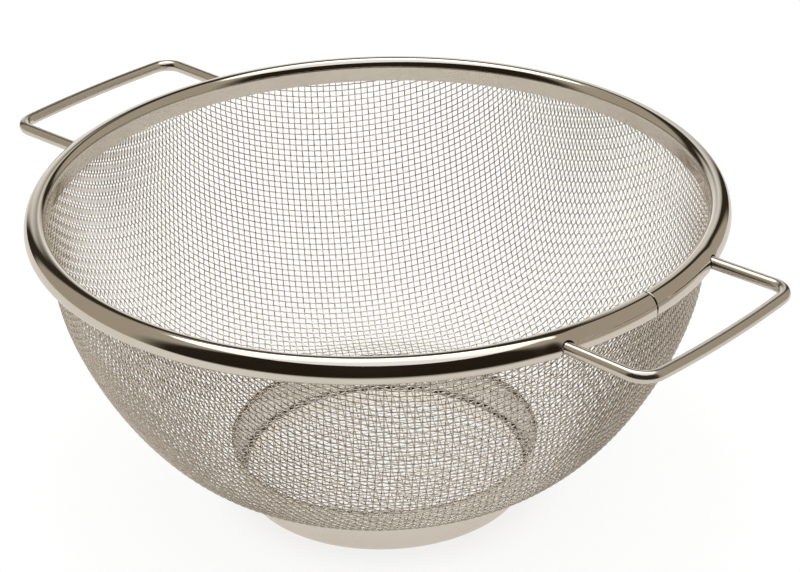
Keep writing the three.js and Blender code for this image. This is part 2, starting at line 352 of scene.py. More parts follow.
def new_wire_tree():
    tree = bpy.data.node_groups.new("round_wire_along_line", "GeometryNodeTree")
    for name, kind in (("Lines", "Geometry"), ("Wire Diameter", "Float"), ("Sides", "Int"),
                       ("Crimp", "Float"), ("Finish", "Material")):
        tree.interface.new_socket(name, in_out="INPUT", socket_type="NodeSocket" + kind)
    tree.interface.new_socket("Wires", in_out="OUTPUT", socket_type="NodeSocketGeometry")
    given = tree.nodes.new("NodeGroupInput").outputs
    measure = tree.nodes.new("GeometryNodeSplineParameter").outputs

    def attribute(name, kind):
        return add_node(tree, "GeometryNodeInputNamedAttribute", {"Name": name}, data_type=kind)

    def stored(curve, name, value):
        return add_node(tree, "GeometryNodeStoreNamedAttribute",
                        {"Geometry": curve, "Name": name, "Value": value}, data_type="FLOAT", domain="POINT")

    wave = add_node(tree, "ShaderNodeMath", {0: attribute("lift", "FLOAT"), 1: given["Crimp"]},
                    operation="MULTIPLY")
    shift = add_node(tree, "ShaderNodeVectorMath",
                     {0: attribute("outward", "FLOAT_VECTOR"), "Scale": wave}, operation="SCALE")
    woven = add_node(tree, "GeometryNodeSetPosition", {"Geometry": given["Lines"], "Offset": shift})
    curves = add_node(tree, "GeometryNodeMeshToCurve", {"Mesh": woven})
    half = add_node(tree, "ShaderNodeMath", {0: given["Wire Diameter"], 1: 2}, operation="DIVIDE")
    circle = add_node(tree, "GeometryNodeCurvePrimitiveCircle",
                      {"Resolution": given["Sides"], "Radius": half})
    sweep = add_node(tree, "GeometryNodeCurveToMesh", {
        "Curve": stored(curves, "along", measure["Length"]),
        "Profile Curve": stored(circle, "around", measure["Factor"]), "Fill Caps": True})
    smooth = add_node(tree, "GeometryNodeSetShadeSmooth", {"Geometry": sweep})
    real = add_node(tree, "GeometryNodeRealizeInstances", {"Geometry": smooth})
    finish = add_node(tree, "GeometryNodeSetMaterial", {"Geometry": real, "Material": given["Finish"]})
    add_node(tree, "NodeGroupOutput", {"Wires": finish})
    return tree


wire_tree = new_wire_tree()
print("tree inputs:", [s.name for s in wire_tree.interface.items_tree if s.in_out == "INPUT"])

# %% Helpers: lines in, a plain mesh of wires out
def apply_modifier(piece, modifier):
    """Gives the piece, for good, the mesh that its modifier makes."""
    depsgraph = bpy.context.evaluated_depsgraph_get()
    result = bpy.data.meshes.new_from_object(piece.evaluated_get(depsgraph), preserve_all_data_layers=True,
                                             depsgraph=depsgraph)
    piece.modifiers.remove(modifier)
    piece.data = result


def drawn_wires(name, lines, diameter, sides, crimp, finish):
    """lines is a list of (points in metres, outward directions, lifts, tone)."""
    places, outwards, lifts, tones = zip(*lines)
    points = np.concatenate(places)
    counts = [len(place) for place in places]
    next_point = np.arange(1, len(points))
    edges = np.delete(np.stack([next_point - 1, next_point], 1), np.cumsum(counts)[:-1] - 1, axis=0)
    mesh = bpy.data.meshes.new(name + "_lines")
    mesh.vertices.add(len(points))
    mesh.vertices.foreach_set("co", points.ravel())
    mesh.edges.add(len(edges))
    mesh.edges.foreach_set("vertices", edges.ravel())
    for key, kind, field, values in (("outward", "FLOAT_VECTOR", "vector", np.concatenate(outwards)),
                                     ("lift", "FLOAT", "value", np.concatenate(lifts)),
                                     ("tone", "FLOAT", "value", np.repeat(tones, counts))):
        mesh.attributes.new(key, kind, "POINT").data.foreach_set(field, values.ravel())
    piece = finished_object(name, mesh)
    maker = piece.modifiers.new("wire", "NODES")
    maker.node_group = wire_tree
    given = {"Wire Diameter": diameter, "Sides": sides, "Crimp": crimp, "Finish": finish}
    for socket in wire_tree.interface.items_tree:
        if socket.name in given and socket.in_out == "INPUT":
            maker[socket.identifier] = given[socket.name]
    apply_modifier(piece, maker)
    piece.data.name = name
    bpy.data.meshes.remove(mesh)
    triangles = sum(len(p.vertices) - 2 for p in piece.data.polygons)
    print(name, len(lines), "wires,", triangles, "triangles")
    return piece


def settle(piece, node):
    """The piece stands for a node of the solid model, which it hides, and moves with the root body."""
    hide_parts(node)
    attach(piece, "root")

# %% [markdown]
# ## Finish of the cloth
#
# The cloth's wire is drawn stainless steel: grey with a warm cast, neither mirror nor matt, and no two
# wires quite the same tone. The colour drifts from wire to wire and along each wire. Painted shade darkens
# the side of each wire that faces out of the bowl, and the side that faces in is painted lighter. The
# roughness follows finer marks left by the drawing die.

# %% Helpers for finishes
MIDDLE_RANGE = (0.3, 0.7)


def new_finish(name):
    """A plain metal, its node tree and its shader's inputs."""
    finish = bpy.data.materials.new(name)
    finish.use_nodes = True
    shader = finish.node_tree.nodes["Principled BSDF"].inputs
    shader["Metallic"].default_value = 1.0
    return finish, finish.node_tree, shader


def coat(piece, finish):
    piece.data.materials.clear()
    piece.data.materials.append(finish)


def mottle(tree, vector, scale, detail):
    """A soft random pattern; scale is in spots per unit of the vector."""
    return add_node(tree, "ShaderNodeTexNoise", {"Vector": vector, "Scale": scale, "Detail": detail}, "Fac")


def between(tree, factor, low, high):
    """A number that runs from low to high as factor runs over its middle range."""
    return add_node(tree, "ShaderNodeMapRange", {
        "Value": factor, "From Min": MIDDLE_RANGE[0], "From Max": MIDDLE_RANGE[1],
        "To Min": low, "To Max": high})


def blended(tree, factor, low, high):
    """A colour that runs from low to high with factor."""
    return add_node(tree, "ShaderNodeMix", {"Factor": factor, "A": low, "B": high}, "Result",
                    data_type="RGBA")


def raised(tree, shader, height, strength, depth):
    """Fine relief from a height pattern; depth in metres."""
    bump = add_node(tree, "ShaderNodeBump", {"Height": height, "Strength": strength, "Distance": depth})
    tree.links.new(bump, shader["Normal"])


def object_place(tree):
    return tree.nodes.new("ShaderNodeTexCoord").outputs["Object"]


def carried(tree, name, kind="Fac"):
    """A value that the piece's own mesh carries."""
    return add_node(tree, "ShaderNodeAttribute", {}, kind, attribute_name=name)


def number(tree, operation, *values):
    """A sum on a few values; each is another node's output or a plain number."""
    return add_node(tree, "ShaderNodeMath", dict(enumerate(values)), operation=operation)


def added(tree, one, two, share):
    """one plus share times two."""
    return number(tree, "MULTIPLY_ADD", two, share, one)


def reach_along(tree, vector, direction):
    """How far a vector reaches in a direction."""
    return add_node(tree, "ShaderNodeVectorMath", {0: vector, 1: direction}, "Value",
                    operation="DOT_PRODUCT")

# %% Finish: cloth wire
CLOTH_TONES = ((0.55, 0.505, 0.445, 1), (0.98, 0.94, 0.88, 1))
CLOTH_ROUGHNESS = (0.10, 0.23)
CLOTH_SPOTS = 260
CLOTH_MARKS = 1500
CLOTH_RELIEF = 0.15
CLOTH_RELIEF_DEPTH = 0.00005
TONE_SHARE = 0.5
# Painted shade on the outer side of the wires, painted light on their inner side.
OUTER_SIDE_SHADE = -0.6


def cloth_wire_finish():
    finish, tree, shader = new_finish("cloth_wire")
    join = tree.links.new
    place = object_place(tree)
    normal = tree.nodes.new("ShaderNodeNewGeometry").outputs["Normal"]
    # Painted shade where a wire faces out of the bowl, painted light where it faces in, added to the random
    # tone.
    outer_side_shade_mask = reach_along(tree, normal, carried(tree, "outward", "Vector"))
    tone_drift_and_shade = added(tree, mottle(tree, place, CLOTH_SPOTS, 2), carried(tree, "tone"), TONE_SHARE)
    tone_drift_and_shade = added(tree, tone_drift_and_shade, outer_side_shade_mask, OUTER_SIDE_SHADE)
    join(blended(tree, tone_drift_and_shade, *CLOTH_TONES), shader["Base Color"])
    marks = mottle(tree, place, CLOTH_MARKS, 2)
    join(between(tree, marks, *CLOTH_ROUGHNESS), shader["Roughness"])
    raised(tree, shader, marks, CLOTH_RELIEF, CLOTH_RELIEF_DEPTH)
    return finish


cloth_finish = cloth_wire_finish()
print("finish made:", cloth_finish.name)

# %% Cloth pieces
WIRE_SIDES = 5
GROUPS_PER_SET = 4
TONE_SPREAD = 0.35
chance = np.random.default_rng(7)


def outward_directions(points):
    walk = np.hypot(points[:, 0], points[:, 1])
    away = points / np.maximum(walk, 1e-9)[:, None]
    out = np.interp(walk, WALK, HEIGHT_SLOPE)
    down = -np.interp(walk, WALK, RADIUS_SLOPE)
    return np.concatenate([away * out[:, None], down[:, None]], axis=1)


def spun(vectors):
    """Vectors turned about the axis by the angle at which the cloth lies."""
    c, s = math.cos(WEAVE_TURN), math.sin(WEAVE_TURN)
    return vectors @ np.array([[c, -s, 0], [s, c, 0], [0, 0, 1]]).T


def cloth_piece(name, wires):
    lines = []
    for points, lift in wires:
        place = spun(on_bowl(points[:, 0], points[:, 1])) * MM
        tone = chance.uniform(-TONE_SPREAD, TONE_SPREAD)
        lines.append((place, spun(outward_directions(points)), lift, tone))
    piece = drawn_wires(name, lines, CLOTH_WIRE * MM, WIRE_SIDES, CLOTH_WIRE / 2 * MM, cloth_finish)
    settle(piece, "mesh_bowl")


for set_name, wires in (("cloth_first_set", set_one), ("cloth_second_set", set_two)):
    for group in range(GROUPS_PER_SET):
        low = group * len(wires) // GROUPS_PER_SET
        high = (group + 1) * len(wires) // GROUPS_PER_SET
        cloth_piece(f"{set_name}_{group + 1}", wires[low:high])

# %% [markdown]
# ## The rim's rolled strip
#
# The rim is one strip of thin sheet, rolled lengthwise round a hoop and the cloth's edge. In section it
# has a flat inner face, a shoulder, and a bead that curls under to a free lip. A plain turned ring would
# miss how it is closed: the strip's two ends meet between the legs of one handle, where one end is set
# down a little and runs under the other, whose lower corner is rounded off. So the strip is built as a
# strip, as a grid of points that goes once round and a little further, and then gets its thickness.

# %% Section of the strip
SHEET = 0.4
INNER_FACE = 112.4
INNER_FACE_RISE = 1.0
INNER_FACE_DROP = 3.8
SHOULDER_PULL = 1.9
BEAD = 4.6
BEAD_DROP = 4.2
BEAD_SIDE = -1.0
BEAD_CENTRE = RIM_RADIUS - BEAD - 0.003
CROWN_TOP = BEAD_CENTRE - 0.1
CROWN_PULL = 1.7
CROWN_POWER = 0.94
LIP_RADIUS = 114.4
FACE_POINTS = 4
SHOULDER_POINTS = 18
CURL_POINTS = 24


def strip_section(inset):
    """[radius, height above the bead's middle] from the inner face's lower edge over the top to the lip."""
    face_heights = np.linspace(-INNER_FACE_DROP, INNER_FACE_RISE, FACE_POINTS)[:-1]
    face = [(INNER_FACE + inset, z) for z in face_heights]
    top = BEAD - inset
    shoulder = cubic([(INNER_FACE + inset, INNER_FACE_RISE),
                      (INNER_FACE + inset, INNER_FACE_RISE + SHOULDER_PULL - inset),
                      (CROWN_TOP - CROWN_PULL + inset, top), (CROWN_TOP, top)], SHOULDER_POINTS)[:-1]
    crown = [(CROWN_TOP + (BEAD_CENTRE + top - CROWN_TOP) * math.sin(a) ** CROWN_POWER,
              BEAD_SIDE + (top - BEAD_SIDE) * math.cos(a) ** CROWN_POWER)
             for a in np.linspace(0, math.pi / 2, CURL_POINTS)[:-1]]
    lip_angle = -math.acos((LIP_RADIUS - BEAD_CENTRE) / BEAD)
    drop = BEAD_DROP + BEAD_SIDE - inset
    under = [(BEAD_CENTRE + top * math.cos(a), BEAD_SIDE + drop * math.sin(a))
             for a in np.linspace(0, lip_angle, CURL_POINTS)]
    return np.concatenate([face, shoulder, crown, under])


outside_section = strip_section(0)
inside_section = strip_section(SHEET)
section_walk = lengths_along(outside_section)
section_out = np.gradient(outside_section, axis=0)
section_out = np.stack([-section_out[:, 1], section_out[:, 0]], axis=1)
section_out /= np.linalg.norm(section_out, axis=1)[:, None]
print("strip's width before rolling:", round(section_walk[-1], 1), "mm")

# %% Strip grid, with its set-down end, rounded corner and the swell round each handle leg
LEG_HALF_SPREAD = 36.9
LEG_RADIUS = 2.1
EASE_DOWN = 0.1
EASE_FROM = 356.0
DIP = 0.5
DIP_FROM = 359.55
DIP_TO = 359.95
END_EDGE = 0.2
STRIP_END = 361.0
FACE_END = 1.1
FACE_END_FADE = 2.0
CORNER = 3.0
CORNER_FADE = 4.0
SWELL = 0.4
SWELL_REACH = 4.0


def strip_angles():
    """Angles round the rim in degrees from the strip's upper end, closer where the shape changes."""
    leg = math.degrees(math.asin(LEG_HALF_SPREAD / RIM_RADIUS))
    parts = [np.arange(0, STRIP_END, 1.0), np.arange(0, 0.15, 0.02), np.arange(0, CORNER_FADE, 0.2),
             np.arange(EASE_FROM, STRIP_END, 0.2), np.arange(DIP_FROM - 0.1, STRIP_END, 0.05)]
    for middle in (leg, 180 - leg, 180 + leg, 360 - leg):
        parts.append(np.arange(middle - 4, middle + 4, 0.3))
    return np.unique(np.round(np.concatenate(parts), 3))


def strip_points(section, angles):
    """Grid of points, angle by section, in millimetres, and the angle of each along the strip."""
    to_lip = section_walk[-1] - section_walk
    rounding = CORNER - np.sqrt(np.maximum(CORNER ** 2 - (CORNER - to_lip) ** 2, 0))
    cut_back = np.degrees(np.where(to_lip < CORNER, rounding, 0) / RIM_RADIUS)
    t = angles[:, None] + cut_back[None] * np.clip(1 - angles[:, None] / CORNER_FADE, 0, 1)
    laps = smooth_step(section_out[:, 0], -0.9, -0.5)[None]
    t = t - FACE_END * (1 - laps) * np.clip(1 - (STRIP_END - angles[:, None]) / FACE_END_FADE, 0, 1)
    theta = -np.radians(t)
    down = EASE_DOWN * smooth_step(t, EASE_FROM, DIP_FROM) + DIP * smooth_step(t, DIP_FROM, DIP_TO)
    to_edge = np.clip(END_EDGE - np.radians(angles) * RIM_RADIUS, 0, END_EDGE)[:, None]
    down = (down + END_EDGE - np.sqrt(END_EDGE ** 2 - to_edge ** 2)) * laps
    sideways = np.abs(BEAD_CENTRE * np.sin(theta)) - LEG_HALF_SPREAD
    apart = np.hypot(sideways * RIM_RADIUS / BEAD_CENTRE, section[None, :, 1])
    swell = SWELL * np.exp(-(apart / SWELL_REACH) ** 2) * smooth_step(section_out[:, 0], 0.1, 0.7)[None]
    radius = section[None, :, 0] + section_out[None, :, 0] * (swell - down)
    height = RIM_HEIGHT + section[None, :, 1] + section_out[None, :, 1] * (swell - down)
    return np.stack([radius * np.cos(theta), radius * np.sin(theta), height], axis=-1), t


def strip_mesh():
    angles = strip_angles()
    outer, t = strip_points(outside_section, angles)
    inner, _ = strip_points(inside_section, angles)
    rows, columns = outer.shape[:2]
    across = np.arange(rows * columns).reshape(rows, columns)
    under = across + rows * columns
    mesh = bpy.data.meshes.new("rim_strip")
    faces = []

    def quads(a, b, c, d):
        faces.append(np.stack([x.ravel() for x in (a, b, c, d)], axis=1))
    quads(across[:-1, :-1], across[1:, :-1], across[1:, 1:], across[:-1, 1:])
    quads(under[:-1, :-1], under[:-1, 1:], under[1:, 1:], under[1:, :-1])
    for edge in (0, -1):
        quads(across[:-1, edge], under[:-1, edge], under[1:, edge], across[1:, edge])
        quads(across[edge, :-1], across[edge, 1:], under[edge, 1:], under[edge, :-1])
    mesh.from_pydata((np.concatenate([outer.reshape(-1, 3), inner.reshape(-1, 3)]) * MM).tolist(), [],
                     np.concatenate(faces).tolist())
    strip = mesh.uv_layers.new(name="strip")
    place = np.stack([np.radians(t) * RIM_RADIUS, np.broadcast_to(section_walk, t.shape)], axis=-1)
    place = np.tile(place.reshape(-1, 2) * MM, (2, 1))
    strip.data.foreach_set("uv", place[[loop.vertex_index for loop in mesh.loops]].ravel())
    return mesh


def outward_faces(mesh):
    """Turns every face of a closed mesh outwards."""
    work = bmesh.new()
    work.from_mesh(mesh)
    bmesh.ops.recalc_face_normals(work, faces=work.faces)
    work.to_mesh(mesh)
    work.free()


rim_mesh = strip_mesh()
outward_faces(rim_mesh)
print("strip faces:", len(rim_mesh.polygons))

# %% [markdown]
# ## Notches for the handle legs
#
# Each handle leg goes through the bead to the hoop inside, and the strip is cut in an arch to let it
# through, open at the lip so that it could be rolled down over the leg. An arch-shaped block for each leg
# is taken away with a Boolean modifier, which keeps the cut edge crisp.

# %% Cut the notches
NOTCH_GAP = 0.45
NOTCH_FROM = 107.4
NOTCH_TO = 126.0
NOTCH_DROP = 12.0
ARCH_POINTS = 25
RIM_SHARP = 35


def notch_blocks():
    """One mesh with an arched block at each leg."""
    half = LEG_RADIUS + NOTCH_GAP
    arch = [(-half, -NOTCH_DROP), (half, -NOTCH_DROP)]
    arch += [(half * math.cos(a), half * math.sin(a)) for a in np.linspace(0, math.pi, ARCH_POINTS)]
    work = bmesh.new()
    for side in (1, -1):
        for leg in (1, -1):
            near, far = [
                [work.verts.new((side * x * MM, (leg * LEG_HALF_SPREAD + y) * MM, (RIM_HEIGHT + z) * MM))
                 for y, z in arch] for x in (NOTCH_FROM, NOTCH_TO)]
            work.faces.new(near)
            work.faces.new(far[::-1])
            for n in range(len(arch)):
                m = (n + 1) % len(arch)
                work.faces.new((near[n], far[n], far[m], near[m]))
    mesh = bpy.data.meshes.new("notch_blocks")
    work.to_mesh(mesh)
    work.free()
    outward_faces(mesh)
    return mesh


def cut_away(piece, blocks):
    """Takes the blocks out of the piece for good."""
    tool = finished_object("notch_tool", blocks)
    cut = piece.modifiers.new("notches", "BOOLEAN")
    cut.operation = "DIFFERENCE"
    cut.solver = "EXACT"
    cut.object = tool
    apply_modifier(piece, cut)
    bpy.data.objects.remove(tool)
    bpy.data.meshes.remove(blocks)


def soft_shaded(mesh, sharp_degrees):
    """Smooth shading that still breaks at edges sharper than the given angle."""
    mesh.polygons.foreach_set("use_smooth", [True] * len(mesh.polygons))
    mesh.set_sharp_from_angle(angle=math.radians(sharp_degrees))


rim = finished_object("rim_strip", rim_mesh)
cut_away(rim, notch_blocks())
soft_shaded(rim.data, RIM_SHARP)
print("rim after the cuts:", len(rim.data.polygons), "faces")

# %% [markdown]
# ## Finish of the rim
#
# The strip is polished, so it shows the studio as bright and dark bands. Rolling leaves the faintest lines
# along its length, and handling leaves soft patches that are a touch less bright. The lines follow the
# strip, so they read the strip's own UV map, long in one direction and very fine in the other. The same
# map places painted shade, a dark line in the gap where one end runs under the other.

# %% Finish: polished strip
# Colour of the painted shade at the rim's seam and along the foot ring's edges.
EDGE_SHADE = (0.17, 0.14, 0.105)
STRIP_STRETCH = (9, 2600, 1)
STRIP_PATCHES = 38
STRIP_WEAR = 0.6
SHEET_RELIEF_DEPTH = 0.00002
RIM_TONES = ((0.70, 0.66, 0.60, 1), (0.80, 0.765, 0.71, 1))
RIM_ROUGHNESS = (0.045, 0.11)
RIM_RELIEF = 0.12


def stretched(tree, vector, scale):
    """The same place, stretched by a different amount in each direction."""
    return add_node(tree, "ShaderNodeMapping", {"Vector": vector, "Scale": scale})


def strip_uv(tree):
    return add_node(tree, "ShaderNodeUVMap", {}, uv_map="strip")


def strip_finish(name, tones, roughness, relief):
    """Rolled sheet in two steel tones."""
    finish, tree, shader = new_finish(name)
    join = tree.links.new
    lines = mottle(tree, stretched(tree, strip_uv(tree), STRIP_STRETCH), 1, 3)
    patches = mottle(tree, object_place(tree), STRIP_PATCHES, 3)
    join(blended(tree, patches, *tones), shader["Base Color"])
    worn = number(tree, "MULTIPLY", added(tree, patches, lines, STRIP_WEAR), STRIP_WEAR)
    join(between(tree, worn, *roughness), shader["Roughness"])
    raised(tree, shader, lines, relief, SHEET_RELIEF_DEPTH)
    return finish


def paint_edge_shade(finish, axis, stops):
    """Paints shade on the sheet along (X) or across (Y) the strip; stops are (mm, share of the painted
    shade).
    """
    tree = finish.node_tree
    first, last = stops[0][0], stops[-1][0]
    place = add_node(tree, "ShaderNodeSeparateXYZ", {0: strip_uv(tree)}, axis)
    share = add_node(tree, "ShaderNodeMapRange",
                     {"Value": place, "From Min": first * MM, "From Max": last * MM})
    ramp = tree.nodes.new("ShaderNodeValToRGB")
    tree.links.new(share, ramp.inputs["Fac"])
    marks = ramp.color_ramp.elements
    for stop, shade_share in stops:
        if stop in (first, last):
            mark = marks[0 if stop == first else -1]
        else:
            mark = marks.new((stop - first) / (last - first))
        mark.color = (*(1 - shade_share * (1 - np.array(EDGE_SHADE))), 1)
    colour = tree.nodes["Principled BSDF"].inputs["Base Color"]
    shaded_colour = add_node(tree, "ShaderNodeMix",
                      {"Factor": 1.0, "A": colour.links[0].from_socket, "B": ramp.outputs["Color"]},
                      "Result", data_type="RGBA", blend_type="MULTIPLY")
    tree.links.new(shaded_colour, colour)


rim_finish = strip_finish("rim_sheet", RIM_TONES, RIM_ROUGHNESS, RIM_RELIEF)
seam = 2 * math.pi * RIM_RADIUS
# Painted shade: a dark line in the gap where the strip's set-down end runs under the other end.
paint_edge_shade(rim_finish, "X", [(seam - 3, 0), (seam - 0.9, 0), (seam - 0.5, 1), (seam + 3, 1)])
coat(rim, rim_finish)
settle(rim, "rim_band")
print("rim finished")

# %% [markdown]
# ## The handles
#
# Each handle is one length of wire a little over 4 mm thick: a leg out of the rim, a tight bend, a grip
# that bows out a little, and the same back again. A bend made over a round former is a true arc, so the
# path here is straight, then arc, then the long shallow bow. The node tree for wires sweeps it.

# %% Handle path
HANDLE_WIRE = 4.2
ROOT_X = 113.1
CORNER_X = 144.6
CORNER_HALF = 37.5
BOW_X = 147.567
BEND_RADIUS = 7.0
HANDLE_SIDES = 28
LEG_POINTS = 9
BEND_POINTS = 15
BOW_POINTS = 17


def bend_arc(corner, behind, ahead):
    """Points of a round bend at a corner, for a wire that comes from one point and goes to another."""
    back, ahead = [(end - corner) / np.linalg.norm(end - corner) for end in (behind, ahead)]
    half_turn = math.acos(np.clip(-back @ ahead, -1, 1)) / 2
    setback = BEND_RADIUS * math.tan(half_turn)
    middle = corner + (back + ahead) / np.linalg.norm(back + ahead) * BEND_RADIUS / math.cos(half_turn)
    first, last = corner + setback * back - middle, corner + setback * ahead - middle
    sweep = 2 * half_turn
    return [middle + (math.sin(sweep * (1 - f)) * first + math.sin(sweep * f) * last) / math.sin(sweep)
            for f in np.linspace(0, 1, BEND_POINTS)]


def handle_path():
    root, corner = np.array([ROOT_X, -LEG_HALF_SPREAD]), np.array([CORNER_X, -CORNER_HALF])
    bow = np.array([BOW_X, 0.0])
    bend = bend_arc(corner, root, bow)
    leg = [root + f * (bend[0] - root) for f in np.linspace(0, 1, LEG_POINTS)[:-1]]
    mirror = np.array([1, -1])
    half = [(1 - f) ** 2 * bend[-1] + 2 * f * (1 - f) * bow + f * f * bend[-1] * mirror
            for f in np.linspace(0, 0.5, BOW_POINTS)[1:]]
    near = leg + bend + half
    far = [p * mirror for p in near[-2::-1]]
    flat = np.array(near + far)
    return np.concatenate([flat, np.full((len(flat), 1), RIM_HEIGHT)], axis=1) * MM


path = handle_path()
print("one handle takes", round(lengths_along(path)[-1] / MM), "mm of wire")

# %% [markdown]
# ## Finish of the handle wire
#
# Handle wire is drawn through a die and polished, which leaves hair lines along it. The node tree stored
# how far along the wire and how far round it each point is, so the lines can follow the wire through its
# bends. The hoop inside the rim is the solid model's own, and gets the same finish.

# %% Finish: drawn wire
WIRE_TONES = ((0.66, 0.62, 0.56, 1), (0.77, 0.735, 0.68, 1))
WIRE_ROUGHNESS = (0.13, 0.28)
WIRE_STRETCH = (11, 11, 14)
WIRE_PATCHES = 60
WIRE_RELIEF = 0.1


def drawn_wire_finish():
    finish, tree, shader = new_finish("drawn_wire")
    join = tree.links.new
    turn = number(tree, "MULTIPLY", carried(tree, "around"), 2 * math.pi)
    place = add_node(tree, "ShaderNodeCombineXYZ", {
        "X": number(tree, "COSINE", turn), "Y": number(tree, "SINE", turn), "Z": carried(tree, "along")})
    lines = mottle(tree, stretched(tree, place, WIRE_STRETCH), 1, 3)
    patches = mottle(tree, object_place(tree), WIRE_PATCHES, 3)
    join(blended(tree, patches, *WIRE_TONES), shader["Base Color"])
    join(between(tree, lines, *WIRE_ROUGHNESS), shader["Roughness"])
    raised(tree, shader, lines, WIRE_RELIEF, SHEET_RELIEF_DEPTH)
    return finish


wire_finish = drawn_wire_finish()
for name, way in (("right_handle", 1), ("left_handle", -1)):
    points = path * np.array([way, way, 1])
    line = (points, np.tile([0.0, 0.0, 1.0], (len(points), 1)), np.zeros(len(points)), 0.0)
    grip = drawn_wires(name + "_wire", [line], HANDLE_WIRE * MM, HANDLE_SIDES, 0.0, wire_finish)
    settle(grip, name)

coat(frame["nodes"]["rim_core_wire"], wire_finish)

# %% [markdown]
# ## The foot ring
#
# The ring under the bowl is sheet too: a band that flares towards the top, with its lower edge folded up
# inside, so that it stands on a round fold and not on a raw edge. The fold stands a little open. Seen
# through the cloth, the top of the ring and the top of the fold are the two dark hoops at the bottom of
# the bowl, so painted shade darkens those edges and the fold's slit, and a fainter painted shade lies on
# the wall between them, under the bowl. The ring is turned from its section, fold and all.

# %% Foot ring
FOOT_BASE = 50.5
FOOT_TOP = 54.6
FOOT_HEIGHT = 18.0
FOOT_SHEET = 0.7
FOOT_EDGE = 0.2
HEM_TOP = 5.9
HEM_SLIT_FOOT = 2.4
TURN_STEPS = 240
FOOT_SHARP = 40


def foot_wall(height):
    return FOOT_BASE + (FOOT_TOP - FOOT_BASE) * height / FOOT_HEIGHT


def arc(centre, radius, start, end, count):
    return [(centre[0] + radius * math.cos(a), centre[1] + radius * math.sin(a))
            for a in np.radians(np.linspace(start, end, count))]


def foot_section():
    """Closed section of the ring: down the wall's outer side, round the fold and back up inside."""
    s, edge = FOOT_SHEET, FOOT_EDGE
    outside = [(foot_wall(z), z) for z in np.linspace(FOOT_HEIGHT - edge, s, 12)]
    fold = arc((foot_wall(s) - s, s), s, 0, -180, 13)[1:]
    leaf = foot_wall(s) - 2 * s
    hem = [(leaf, z) for z in np.linspace(s, HEM_TOP - edge, 5)[1:]]
    hem_edge = arc((leaf + edge, HEM_TOP - edge), edge, 180, 90, 4)[1:]
    slit = [(leaf + s, HEM_TOP), (leaf + s, HEM_SLIT_FOOT), (foot_wall(HEM_SLIT_FOOT) - s, HEM_SLIT_FOOT)]
    inside = [(foot_wall(z) - s, z) for z in np.linspace(HEM_TOP, FOOT_HEIGHT - edge, 8)]
    top = arc((FOOT_TOP - s + edge, FOOT_HEIGHT - edge), edge, 180, 90, 4)[1:]
    top += arc((FOOT_TOP - edge, FOOT_HEIGHT - edge), edge, 90, 0, 4)[:-1]
    return np.array(outside + fold + hem + hem_edge + slit + inside + top)


def turned_ring(name, section):
    """A closed section turned once about the axis, with a UV map along and across the strip."""
    count = len(section)
    angles = 2 * math.pi * np.arange(TURN_STEPS) / TURN_STEPS
    points = np.array([(r * math.cos(a), r * math.sin(a), z) for a in angles for r, z in section])
    across = lengths_along(section)
    step = FOOT_TOP * 2 * math.pi / TURN_STEPS
    faces, places = [], []
    for i in range(TURN_STEPS):
        ahead = (i + 1) % TURN_STEPS
        begin, end = i * step, (i + 1) * step
        for j in range(count):
            k = (j + 1) % count
            faces.append((i * count + j, ahead * count + j, ahead * count + k, i * count + k))
            low, high = across[j], across[k] if k else across[j] + FOOT_EDGE
            places += [(begin, low), (end, low), (end, high), (begin, high)]
    mesh = bpy.data.meshes.new(name)
    mesh.from_pydata((points * MM).tolist(), [], faces)
    strip = mesh.uv_layers.new(name="strip")
    strip.data.foreach_set("uv", (np.array(places) * MM).ravel())
    outward_faces(mesh)
    soft_shaded(mesh, FOOT_SHARP)
    return mesh


section = foot_section()
foot = finished_object("foot_ring_sheet", turned_ring("foot_ring_sheet", section))
print("foot ring:", len(foot.data.polygons), "faces")

# %% Finish: foot ring
FOOT_TONES = ((0.79, 0.755, 0.705, 1), (0.90, 0.87, 0.825, 1))
FOOT_ROUGHNESS = (0.22, 0.36)
FOOT_RELIEF = 0.2
# Painted shade: faint on the ring's inner wall, dark along its top edge.
INSIDE_SHADE = 0.3
TOP_SHADE_LENGTH = 2.4

foot_finish = strip_finish("foot_sheet", FOOT_TONES, FOOT_ROUGHNESS, FOOT_RELIEF)
across = lengths_along(section)
in_fold = np.flatnonzero((section[:, 1] <= HEM_TOP) & (section[:, 1] > HEM_TOP - FOOT_EDGE - 0.01))
fold_from, fold_to = across[in_fold[1]], across[in_fold[-1]]
top_from = across[-1] - TOP_SHADE_LENGTH
# Painted shade: dark at the ring's top edge outside and over the top inside, dark at the fold's top edge and
# slit, faint on the inner wall between.
paint_edge_shade(foot_finish, "Y", [
    (0, 1), (0.5, 1), (1.1, 0),
    (fold_from - 0.7, 0), (fold_from - 0.2, 1), (fold_to + 0.3, 1),
    (fold_to + 1.0, INSIDE_SHADE), (top_from - 0.6, INSIDE_SHADE),
    (top_from, 1), (across[-1] + FOOT_EDGE, 1)])
coat(foot, foot_finish)
settle(foot, "foot_ring")
print("foot ring finished")

# %% [markdown]
# ## The studio
#
# Polished metal is only as good as what it reflects, so the studio is built from what the rim shows. One
# large oval light hangs overhead, turned a little from the line of sight and brighter towards the back.
# The floor is a pale sheet that ends not far from the strainer, with painted light inside the foot ring.
# Past it the room is dark behind the camera and a dull olive grey at the sides. At the back is a pale glow
# near the floor, in a dark frame. Reflections see this room; the camera sees a white background, and the
# floor keeps a soft shadow.

# %% Floor
FLOOR_HALF = 4.0
FLOOR_BELOW = 0.0001
FLOOR_GREY = (0.85, 0.85, 0.85, 1)
PAPER_RIGHT = -0.14
PAPER_AWAY = 0.30
PAPER_FADE = (0.62, 0.82)
PAPER_GLOW = (0.60, 0.56, 0.50, 1)
